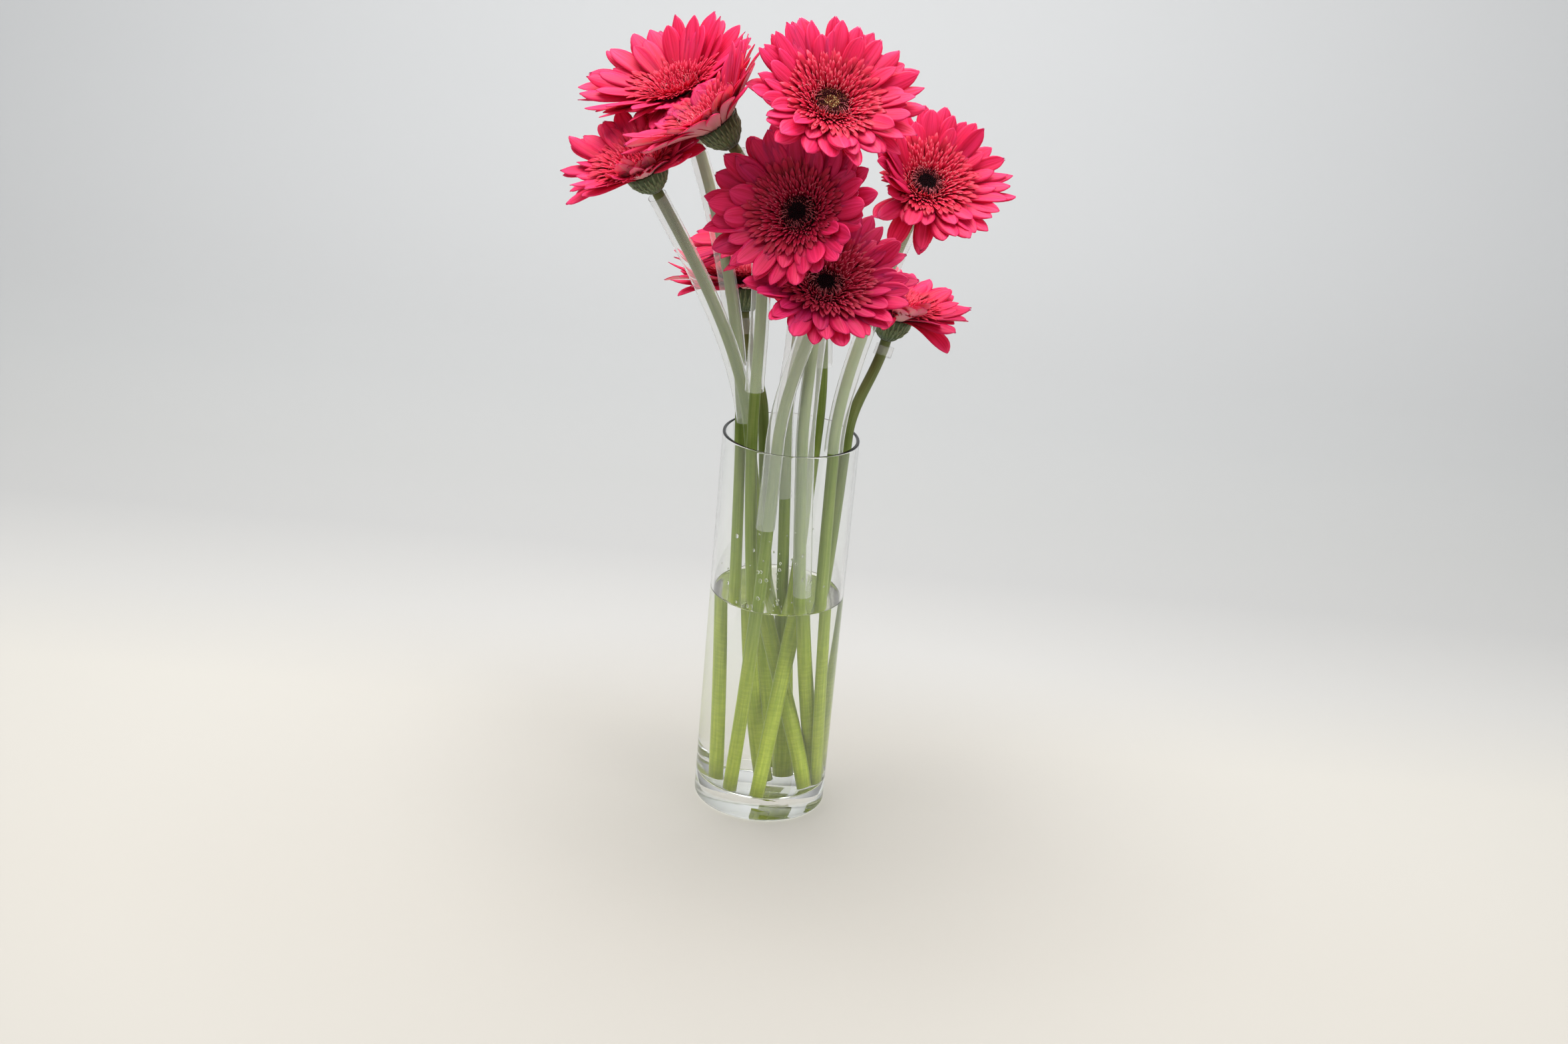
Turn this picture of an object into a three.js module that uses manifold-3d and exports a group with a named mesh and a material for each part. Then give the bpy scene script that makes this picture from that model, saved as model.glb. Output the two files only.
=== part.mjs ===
// Ten cut gerberas in a clear glass cylinder vase, part filled with water.
// Millimetres, +Z up. The origin is the centre of the vase's underside, the front faces -Y.
import * as THREE from 'three';
import { mergeVertices } from 'three/addons/utils/BufferGeometryUtils.js';
import Module from 'manifold-3d';

// Vase and water
const VASE_RADIUS = 50;
const VASE_HEIGHT = 293;
const GLASS = 2.5;
const FLOOR = 17;
const WATER_LEVEL = 169;
const VASE_SIDES = 36;

// Gap kept between pieces that touch
const SEAT = 0.3;
const STEM_SEAT = 0.4;

// Stem: radius at the foot and under the head, both in water and in air
const FOOT_RADIUS = 5.1;
const NECK_RADIUS = 4;
const STEM_SIDES = 6;
const WET_STEPS = 4;
const DRY_STEPS = 6;
const KNEE_HEIGHT = 160;

// Clear sleeve round the upper stem
const SLEEVE_RADIUS = 6.8;
const SLEEVE_WALL = 0.5;
const SLEEVE_SIDES = 8;
const SLEEVE_TOP_GAP = 3;

// Bloom, in heights above the plane of its eye
const CALYX_FOOT = -24;
const CALYX_TOP = -7.5;
const CALYX_RADIUS = 16;
const CALYX_TEETH = 8;
const BED_TOP = -2.6;
const BED_RADIUS = 15.4;
const BED_SIDES = 13;
const EYE_RADIUS = 10.9;
const EYE_HEIGHT = 2.2;
const EYE_SIDES = 10;
const FRILL_RADIUS = 32;
const FRILL_TEETH = 13;
const PETALS_A_LAYER = 13;
const PETAL_ROOT = 12;
const PETAL_WIDTH = 13;
const PETAL_THICKNESS = 1;
const PETAL_FLARE = 12;
const ROOT_HEIGHTS = [-5.4, -4.1];

// One row a flower. head is the middle of the eye. facing is the compass angle from the front
// towards the right, then the angle above the horizon, in degrees. radius and cup are the petals'
// reach and rise. mouth, knee and foot are where the stem leaves the vase, bends under the water's
// top and stands on the floor. sleeve is the height of the sleeve's lower end and lean the side of
// the stem on which it hangs clear. bent lists petals that curl on their own: angle round the
// bloom, counted from its right as seen from in front, and the curl at the tip, in degrees.
const FLOWERS = [
  { head: [-103, 36, 530], facing: [-51, 62], radius: 63, cup: 16, mouth: [-38, 13], knee: [-30, -2],
    foot: [-27, -10], sleeve: 335, lean: [-1, -1.4], bent: [[40, 30], [84, 26]] },
  { head: [-72, -46, 526], facing: [-77, 50], radius: 56, cup: 21, mouth: [-27, -31], knee: [-20, -22],
    foot: [2, 2], sleeve: 335, lean: [-0.3, -1], bent: [[300, 30], [328, 34], [355, 28]] },
  { head: [-119, -25, 487], facing: [-52, 56], radius: 53, cup: 14, mouth: [-31, 1], knee: [-11, 13],
    foot: [29, -15], sleeve: 300, lean: [-1, 0.6], bent: [[235, -45], [310, 30]] },
  { head: [7, -55, 545], facing: [16, 49], radius: 60, cup: 17, mouth: [19, 21], knee: [14, 10],
    foot: [-1, -40], sleeve: 340, lean: [0.3, 1], bent: [] },
  { head: [78, 6, 485], facing: [14, 51], radius: 58, cup: 13, mouth: [31, -24], knee: [32, -19],
    foot: [36, -6], sleeve: 292, lean: [0.2, -1], bent: [[230, -45], [255, -55]] },
  { head: [-9, -74, 474], facing: [-23, 31], radius: 57, cup: 19, mouth: [9, -32], knee: [17, -28],
    foot: [30, 8], sleeve: 178, lean: [1, -0.2], bent: [] },
  { head: [14, -79, 429], facing: [11, 54], radius: 59, cup: 16, mouth: [-9, -36], knee: [-11, -34],
    foot: [-20, -30], sleeve: 232, lean: [-1, -0.2], bent: [] },
  { head: [67, 47, 381], facing: [69, 80], radius: 57, cup: 12, mouth: [41, 8], knee: [37, 12],
    foot: [24, 28], sleeve: 345, lean: [0.6, 1], bent: [[315, -40]] },
  { head: [-46, 88, 382], facing: [-140, 84], radius: 56, cup: 16, mouth: [-22, 34], knee: [-9, 24],
    foot: [6, 36], sleeve: 340, lean: [-0.5, 1], bent: [[90, -70]] },
  { head: [-31, 61, 428], facing: [-72, 56], radius: 55, cup: 11, mouth: [-4, 15], knee: [5, 5],
    foot: [11, 14], sleeve: 240, lean: [-1, 0], bent: [] },
];

const COLOURS = {
  glass: { color: 0xdfeee8, roughness: 0.05, metalness: 0, transparent: true, opacity: 0.3 },
  water: { color: 0xe6f0ea, roughness: 0.02, metalness: 0, transparent: true, opacity: 0.35 },
  stem: { color: 0x7c9a3e, roughness: 0.6, metalness: 0 },
  sleeve: { color: 0xf2f4f0, roughness: 0.15, metalness: 0, transparent: true, opacity: 0.35 },
  petals: { color: 0xe0305f, roughness: 0.55, metalness: 0 },
  frill: { color: 0xb81638, roughness: 0.6, metalness: 0 },
  eye: { color: 0x2a0a12, roughness: 0.8, metalness: 0 },
};

const wasm = await Module();
wasm.setup();

const degrees = THREE.MathUtils.degToRad;
const UP = new THREE.Vector3(0, 0, 1);

// A repeatable source of numbers between 0 and 1
function numbers(seed) {
  let state = seed;
  return () => {
    state = (state + 0x6d2b79f5) | 0;
    let mixed = Math.imul(state ^ (state >>> 15), 1 | state);
    mixed = (mixed + Math.imul(mixed ^ (mixed >>> 7), 61 | mixed)) ^ mixed;
    return ((mixed ^ (mixed >>> 14)) >>> 0) / 4294967296;
  };
}

// A closed skin over rings of points. A ring of one point is a tip. A looped skin joins its last
// ring to its first, and any other is closed by flat ends.
function loft(rings, looped = false) {
  const points = rings.flat();
  const starts = rings.map((_, i) => rings.slice(0, i).flat().length);
  const faces = [];
  const spans = looped ? rings.length : rings.length - 1;
  for (let i = 0; i < spans; i += 1) {
    const next = (i + 1) % rings.length;
    const [here, there] = [rings[i].length, rings[next].length];
    const count = Math.max(here, there);
    for (let k = 0; k < count; k += 1) {
      const a = starts[i] + (k % here);
      const b = starts[i] + ((k + 1) % here);
      const c = starts[next] + (k % there);
      const d = starts[next] + ((k + 1) % there);
      if (here > 1) faces.push(a, b, c);
      if (there > 1) faces.push(b, d, c);
    }
  }
  if (!looped) {
    const last = starts.at(-1);
    for (let k = 1; k < rings[0].length - 1; k += 1) faces.push(0, k + 1, k);
    for (let k = 1; k < rings.at(-1).length - 1; k += 1) faces.push(last, last + k, last + k + 1);
  }
  return outward(new THREE.BufferGeometry().setFromPoints(points).setIndex(faces));
}

// Turns every face over if the skin is inside out.
function outward(geometry) {
  const at = (i) => new THREE.Vector3().fromBufferAttribute(geometry.attributes.position, i);
  const index = [...geometry.index.array];
  let volume = 0;
  for (let i = 0; i < index.length; i += 3) {
    volume += at(index[i]).dot(at(index[i + 1]).cross(at(index[i + 2])));
  }
  if (volume < 0) index.reverse();
  geometry.setIndex(index);
  geometry.computeVertexNormals();
  return geometry;
}

function turned(profile, sides) {
  const points = profile.map(([radius, height]) => new THREE.Vector2(radius, height));
  return new THREE.LatheGeometry(points, sides).rotateX(Math.PI / 2);
}

function solid(geometry) {
  const bare = geometry.clone();
  bare.deleteAttribute('normal');
  bare.deleteAttribute('uv');
  const merged = mergeVertices(bare, 1e-4);
  const vertProperties = new Float32Array(merged.attributes.position.array);
  const triVerts = new Uint32Array(merged.index.array);
  const body = new wasm.Manifold(new wasm.Mesh({ numProp: 3, vertProperties, triVerts }));
  return body.volume() < 0 ? solid(outward(merged)) : body;
}

function geometryOf(body) {
  const mesh = body.getMesh();
  const geometry = new THREE.BufferGeometry();
  geometry.setAttribute('position', new THREE.BufferAttribute(mesh.vertProperties.slice(), 3));
  geometry.setIndex([...mesh.triVerts]);
  geometry.computeVertexNormals();
  return geometry;
}

// The bloom's own frame: X to its right as seen from in front, Z out of its eye.
function bloomFrame(flower) {
  const [compass, rise] = flower.facing.map(degrees);
  const out = new THREE.Vector3(
    Math.sin(compass) * Math.cos(rise), -Math.cos(compass) * Math.cos(rise), Math.sin(rise));
  const side = UP.clone().cross(out).normalize();
  const frame = new THREE.Matrix4().makeBasis(side, out.clone().cross(side), out);
  return frame.setPosition(...flower.head);
}

// The stem's line: foot to mouth past the knee, then up into the calyx along the bloom's axis.
function stemLine(flower) {
  const frame = bloomFrame(flower);
  const foot = new THREE.Vector3(...flower.foot, FLOOR + SEAT);
  const knee = new THREE.Vector3(...flower.knee, KNEE_HEIGHT);
  const mouth = new THREE.Vector3(...flower.mouth, VASE_HEIGHT);
  const neck = new THREE.Vector3(0, 0, CALYX_FOOT).applyMatrix4(frame);
  const axis = new THREE.Vector3().setFromMatrixColumn(frame, 2);
  const reach = neck.distanceTo(mouth);
  const rising = mouth.clone().sub(knee).normalize();
  const leave = mouth.clone().addScaledVector(rising, 0.35 * reach);
  const arrive = neck.clone().addScaledVector(axis, -Math.min(60, 0.4 * reach));
  return {
    wet: new THREE.QuadraticBezierCurve3(foot, knee, mouth),
    dry: new THREE.CubicBezierCurve3(mouth, leave, arrive, neck),
  };
}

function ringAt(centre, across, along, radius, sides) {
  const ring = [];
  for (let k = 0; k < sides; k += 1) {
    const turn = (2 * Math.PI * k) / sides;
    ring.push(centre.clone()
      .addScaledVector(across, radius * Math.cos(turn))
      .addScaledVector(along, radius * Math.sin(turn)));
  }
  return ring;
}

// Centres along the stem's line, each with its direction and the stem's radius there
function stations(flower) {
  const { wet, dry } = stemLine(flower);
  const list = [];
  for (let i = 0; i <= WET_STEPS; i += 1) {
    list.push({ centre: wet.getPoint(i / WET_STEPS), heading: wet.getTangent(i / WET_STEPS) });
  }
  for (let i = 1; i <= DRY_STEPS; i += 1) {
    list.push({ centre: dry.getPoint(i / DRY_STEPS), heading: dry.getTangent(i / DRY_STEPS) });
  }
  list.forEach((station, i) => {
    station.radius = FOOT_RADIUS + (NECK_RADIUS - FOOT_RADIUS) * Math.min(1, i / WET_STEPS);
  });
  return list;
}

// Rings that keep their first point on the same side, so that the skin isn't twisted
function tubeRings(list, extra, sides) {
  let side = new THREE.Vector3(1, 0, 0);
  return list.map(({ centre, heading, radius }) => {
    side = side.clone().addScaledVector(heading, -side.dot(heading)).normalize();
    return ringAt(centre, side, heading.clone().cross(side), radius + extra, sides);
  });
}

function stemGeometry(flower) {
  const rings = tubeRings(stations(flower), 0, STEM_SIDES);
  rings[0].forEach((point) => point.setZ(FLOOR + SEAT));
  return loft(rings);
}

// The stem's hole in the water, which runs out of both faces of the water
function holeGeometry(flower) {
  const list = stations(flower).slice(0, WET_STEPS + 1);
  list[0].centre.addScaledVector(list[0].heading, -4);
  return loft(tubeRings(list, STEM_SEAT, STEM_SIDES));
}

// Cup of pointed bracts under the bloom, in the bloom's frame
function calyxGeometry() {
  const height = CALYX_TOP - CALYX_FOOT;
  const rows = [[0.28, -0.06, 0], [0.84, 0.32, 1], [1, 1, 0]];
  const rings = rows.map(([width, rise, relief], row) => {
    const ring = [];
    for (let k = 0; k < 2 * CALYX_TEETH; k += 1) {
      const turn = (Math.PI * k) / CALYX_TEETH;
      const raised = (k + row) % 2 ? relief : -relief;
      const radius = CALYX_RADIUS * width + 0.5 * raised;
      ring.push(new THREE.Vector3(
        radius * Math.cos(turn), radius * Math.sin(turn), CALYX_FOOT + height * rise + 1.3 * raised));
    }
    return ring;
  });
  return loft(rings);
}

// Ring of short florets as relief, its underside following the petals' slope
function frillGeometry(slope) {
  const bedAt = (radius) => ROOT_HEIGHTS[1] + (radius - PETAL_ROOT) * Math.tan(slope) + 1.5;
  const rows = [
    { radius: EYE_RADIUS + SEAT, height: BED_TOP + SEAT, zig: 0, zag: 0 },
    { radius: 0.55 * FRILL_RADIUS, height: bedAt(0.55 * FRILL_RADIUS), zig: 0, zag: 0 },
    { radius: 0.94 * FRILL_RADIUS, height: bedAt(FRILL_RADIUS) + 0.6, zig: 2, zag: 0.6 },
    { radius: 0.78 * FRILL_RADIUS, height: bedAt(0.8 * FRILL_RADIUS) + 3.4, zig: -1.4, zag: -1.5 },
    { radius: 0.55 * FRILL_RADIUS, height: bedAt(0.55 * FRILL_RADIUS) + 4, zig: 1.4, zag: 1.5 },
    { radius: EYE_RADIUS + 1.4, height: EYE_HEIGHT + 0.8, zig: -0.7, zag: -1 },
  ];
  const rings = rows.map(({ radius, height, zig, zag }, row) => {
    const ring = [];
    for (let k = 0; k < 2 * FRILL_TEETH; k += 1) {
      const turn = (Math.PI * (k + (row % 2) / 2)) / FRILL_TEETH;
      const sign = k % 2 ? 1 : -1;
      const reach = radius + sign * zig;
      ring.push(new THREE.Vector3(
        reach * Math.cos(turn), reach * Math.sin(turn), height + sign * zag));
    }
    return ring;
  });
  return loft(rings, true);
}

// Low knobbly button of unopened florets
function eyeGeometry() {
  const rows = [[0.98, BED_TOP + SEAT, 0], [1, 1.2, 0.5], [0.6, EYE_HEIGHT, 0.5]];
  const rings = rows.map(([width, height, knob]) => {
    const ring = [];
    for (let k = 0; k < EYE_SIDES; k += 1) {
      const turn = (2 * Math.PI * k) / EYE_SIDES;
      const radius = (EYE_RADIUS - 0.2) * width;
      const raised = k % 2 ? knob : -knob;
      ring.push(new THREE.Vector3(radius * Math.cos(turn), radius * Math.sin(turn), height + raised));
    }
    return ring;
  });
  return loft([...rings, [new THREE.Vector3(0, 0, 1)]]);
}

// One petal: a thin strap with a rib along its underside, from its root to a blunt tip.
// slope is its rise at the root and curl the change of slope out to the tip.
function petalGeometry({ turn, root, length, width, slope, curl, roll }) {
  const outwards = new THREE.Vector3(Math.cos(turn), Math.sin(turn), 0);
  const sideways = new THREE.Vector3(-Math.sin(turn), Math.cos(turn), 0);
  const shape = [[0, 0.18, 0], [0.42, 0.72, 0.5], [0.83, 1, 1], [1, 0, 1]];
  const spine = outwards.clone().multiplyScalar(PETAL_ROOT).setZ(root);
  const rings = [];
  let done = 0;
  for (const [along, spread, rolled] of shape) {
    const angle = slope + curl * Math.max(0, (along + done) / 2 - 0.3) / 0.7;
    const heading = outwards.clone().multiplyScalar(Math.cos(angle)).addScaledVector(UP, Math.sin(angle));
    const face = heading.clone().cross(sideways).negate();
    spine.addScaledVector(heading, (along - done) * length);
    const across = sideways.clone().multiplyScalar(Math.cos(roll * rolled))
      .addScaledVector(face, Math.sin(roll * rolled));
    const half = (width * spread) / 2;
    const ring = [[-half, 0], [half, 0], [0, -PETAL_THICKNESS * (1 + spread) / 2]];
    rings.push(spread === 0 ? [spine.clone()] : ring.map(([x, z]) => spine.clone()
      .addScaledVector(across, x).addScaledVector(face, z)));
    done = along;
  }
  return loft(rings);
}

// Slopes, swings and lengths to try for a petal that would touch another piece
function* bends() {
  for (const share of [1, 0.86, 0.72]) {
    for (const curl of [0, -10, 10, -20, 20, -32, 32, -46, 46]) {
      for (const swing of [0, -5, 5]) yield { share, curl: degrees(curl), swing: degrees(swing) };
    }
  }
}

// All petals of a bloom on their bed, each bent clear of the pieces that are already there
function petalsGeometry(flower, seed, others) {
  const random = numbers(seed);
  const vary = (range) => (2 * random() - 1) * range;
  const frame = bloomFrame(flower);
  const slope = petalSlope(flower);
  const bed = turned([[0, CALYX_TOP + SEAT], [BED_RADIUS, CALYX_TOP + SEAT], [BED_RADIUS, BED_TOP],
    [0, BED_TOP]], BED_SIDES);
  let body = solid(bed);
  const start = random();
  for (let i = 0; i < 2 * PETALS_A_LAYER; i += 1) {
    const layer = i % 2;
    const turn = (Math.PI * (i + start + vary(0.2))) / PETALS_A_LAYER;
    const angle = THREE.MathUtils.euclideanModulo(THREE.MathUtils.radToDeg(turn), 360);
    const own = flower.bent.find(([at]) => Math.abs(at - angle) < 90 / PETALS_A_LAYER);
    const petal = {
      turn,
      root: ROOT_HEIGHTS[layer],
      length: (flower.radius - PETAL_ROOT) / Math.cos(slope) * (layer ? 0.9 : 1) * (1 + vary(0.05)),
      width: PETAL_WIDTH * (1 + vary(0.08)),
      slope: slope - (layer ? 0 : degrees(6)),
      curl: degrees(vary(9) - PETAL_FLARE + (own ? own[1] : 0)),
      roll: degrees(vary(14)),
    };
    for (const bend of bends()) {
      const trial = { ...petal, turn: turn + bend.swing, curl: petal.curl + bend.curl,
        length: petal.length * bend.share };
      const piece = solid(petalGeometry(trial));
      const placed = piece.transform(frame.elements);
      if (others.every((other) => placed.minGap(other, SEAT) >= SEAT)) {
        body = body.add(piece);
        break;
      }
    }
  }
  return geometryOf(body);
}

function petalSlope(flower) {
  const rise = Math.atan2(flower.cup - ROOT_HEIGHTS[1], flower.radius - PETAL_ROOT);
  return rise + degrees(PETAL_FLARE / 2);
}

// A station on the straight run between two others, at a share of the way
function between(low, high, share) {
  return {
    centre: low.centre.clone().lerp(high.centre, share),
    heading: high.centre.clone().sub(low.centre).normalize(),
  };
}

// Open tube that the stem leans in, from its lower end's height to just under the calyx
function sleeveGeometry(flower) {
  const list = stations(flower);
  const first = list.findIndex((station) => station.centre.z > flower.sleeve);
  const [under, over] = [list[first - 1], list[first]];
  const rise = (flower.sleeve - under.centre.z) / (over.centre.z - under.centre.z);
  const [before, neck] = list.slice(-2);
  const top = 1 - SLEEVE_TOP_GAP / before.centre.distanceTo(neck.centre);
  const run = [between(under, over, rise), ...list.slice(first, -1), between(before, neck, top)];
  const lean = new THREE.Vector3(...flower.lean, 0);
  const slack = (SLEEVE_RADIUS - SLEEVE_WALL) * Math.cos(Math.PI / SLEEVE_SIDES) - NECK_RADIUS - STEM_SEAT;
  for (const station of run) {
    const off = lean.clone().addScaledVector(station.heading, -lean.dot(station.heading)).normalize();
    station.centre = station.centre.clone().addScaledVector(off, slack);
    station.radius = SLEEVE_RADIUS;
  }
  const outside = tubeRings(run, 0, SLEEVE_SIDES);
  const inside = tubeRings(run, -SLEEVE_WALL, SLEEVE_SIDES).reverse();
  return loft([...outside, ...inside], true);
}

function vaseGeometry() {
  const inner = VASE_RADIUS - GLASS;
  return turned([[0, 0], [VASE_RADIUS - 2, 0], [VASE_RADIUS, 2], [VASE_RADIUS, VASE_HEIGHT],
    [inner, VASE_HEIGHT], [inner, FLOOR], [0, FLOOR]], VASE_SIDES);
}

function waterGeometry() {
  const reach = VASE_RADIUS - GLASS - SEAT;
  const full = turned([[0, FLOOR + SEAT], [reach, FLOOR + SEAT], [reach, WATER_LEVEL],
    [0, WATER_LEVEL]], VASE_SIDES);
  let body = solid(full);
  for (const flower of FLOWERS) body = body.subtract(solid(holeGeometry(flower)));
  return geometryOf(body);
}

function piece(name, geometry, look) {
  const mesh = new THREE.Mesh(geometry, new THREE.MeshStandardMaterial(look));
  mesh.name = name;
  return mesh;
}

const object = new THREE.Group();
object.add(piece('vase', vaseGeometry(), COLOURS.glass));
object.add(piece('water', waterGeometry(), COLOURS.water));

// Everything that stands in a petal's way: stems, sleeves and the middles of the blooms first,
// then each finished bloom
const standing = [];
const blooms = FLOWERS.map((flower, i) => {
  const frame = bloomFrame(flower);
  const stem = solid(stemGeometry(flower)).add(solid(calyxGeometry()).transform(frame.elements));
  const sleeve = sleeveGeometry(flower);
  const frill = frillGeometry(petalSlope(flower));
  const eye = eyeGeometry();
  const bloom = new THREE.Group();
  bloom.applyMatrix4(frame);
  bloom.add(piece(`frill_${i + 1}`, frill, COLOURS.frill));
  bloom.add(piece(`eye_${i + 1}`, eye, COLOURS.eye));
  object.add(piece(`stem_${i + 1}`, geometryOf(stem), COLOURS.stem));
  object.add(piece(`sleeve_${i + 1}`, sleeve, COLOURS.sleeve));
  object.add(bloom);
  standing.push(stem, solid(sleeve));
  standing.push(solid(frill).transform(frame.elements), solid(eye).transform(frame.elements));
  return bloom;
});

FLOWERS.forEach((flower, i) => {
  const petals = petalsGeometry(flower, 11 + i, standing);
  blooms[i].add(piece(`petals_${i + 1}`, petals, COLOURS.petals));
  standing.push(solid(petals).transform(bloomFrame(flower).elements));
});

export default object;
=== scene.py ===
import math
import random

import bmesh
import bpy
from mathutils import Matrix, Vector
from mathutils.bvhtree import BVHTree


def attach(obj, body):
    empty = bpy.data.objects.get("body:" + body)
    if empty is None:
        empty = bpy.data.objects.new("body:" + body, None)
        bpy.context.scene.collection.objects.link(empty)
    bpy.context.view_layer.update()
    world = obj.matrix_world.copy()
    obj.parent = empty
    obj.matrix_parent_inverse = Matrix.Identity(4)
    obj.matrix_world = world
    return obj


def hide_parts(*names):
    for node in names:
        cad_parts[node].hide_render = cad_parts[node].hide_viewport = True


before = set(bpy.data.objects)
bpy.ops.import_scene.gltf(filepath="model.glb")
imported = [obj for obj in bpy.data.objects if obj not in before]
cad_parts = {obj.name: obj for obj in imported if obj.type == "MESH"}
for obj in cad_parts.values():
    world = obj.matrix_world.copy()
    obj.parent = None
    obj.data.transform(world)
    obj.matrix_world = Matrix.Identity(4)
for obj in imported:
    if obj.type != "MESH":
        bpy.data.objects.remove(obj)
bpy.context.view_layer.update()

# Shapes are worked out in millimetres and scaled once, when a piece is made.
MM = 0.001

# ---------------------------------------------------------------- sizes, in millimetres

# The vase: its floor is hollowed underneath by PUNT inside the ring it stands on, and FILLET is
# the round of its inner corner.
VASE_RADIUS = 50
VASE_HEIGHT = 293
GLASS = 2.5
FLOOR = 17
FILLET = 6
PUNT = 3
STANDING_RING = 44
WATER_LEVEL = 169
WETTING = 0.05
ROUND_STEPS = 128
DROPS = 52

# The stems and their sleeves. SEAT is the clearance that the solids keep between pieces. A sleeve
# that ends below MISTY_BELOW is of the mistier film.
SEAT = 0.3
KNEE_HEIGHT = 160
FOOT_RADIUS = 5.1
NECK_RADIUS = 4
STEM_SIDES = 20
WET_STEPS = 18
DRY_STEPS = 34
SLEEVE_RADIUS = 6.8
SLEEVE_WALL = 0.3
SLEEVE_SIDES = 28
SLEEVE_TOP_GAP = 3
MISTY_BELOW = 300

# The blooms. Heights count from the middle of the eye, along the bloom's own axis. BUD_TURN is the
# golden angle, by which each bud of the eye follows the last.
CALYX_FOOT = -24
CALYX_TOP = -7.5
CUP_STEPS = 32
BRACT_WIDTH = 3.2
BRACT_WALL = 0.5
EYE_RADIUS = 10.9
EYE_STEPS = 24
BUDS = 210
BUD_RADIUS = 0.52
BUD_TURN = math.radians(137.508)
FLORET_WALL = 0.22
FLORET_RISE = 1.7
INNERMOST_ROOT = 11
PETAL_ROOT = 12
PETAL_WIDTH = 14
PETAL_WALL = 0.45
PETAL_FLARE = 12
PETAL_CLEARANCE = 0.9
PETAL_GROOVE = 0.42
ROOT_HEIGHTS = (-5.4, -4.6, -3.8)

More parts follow.
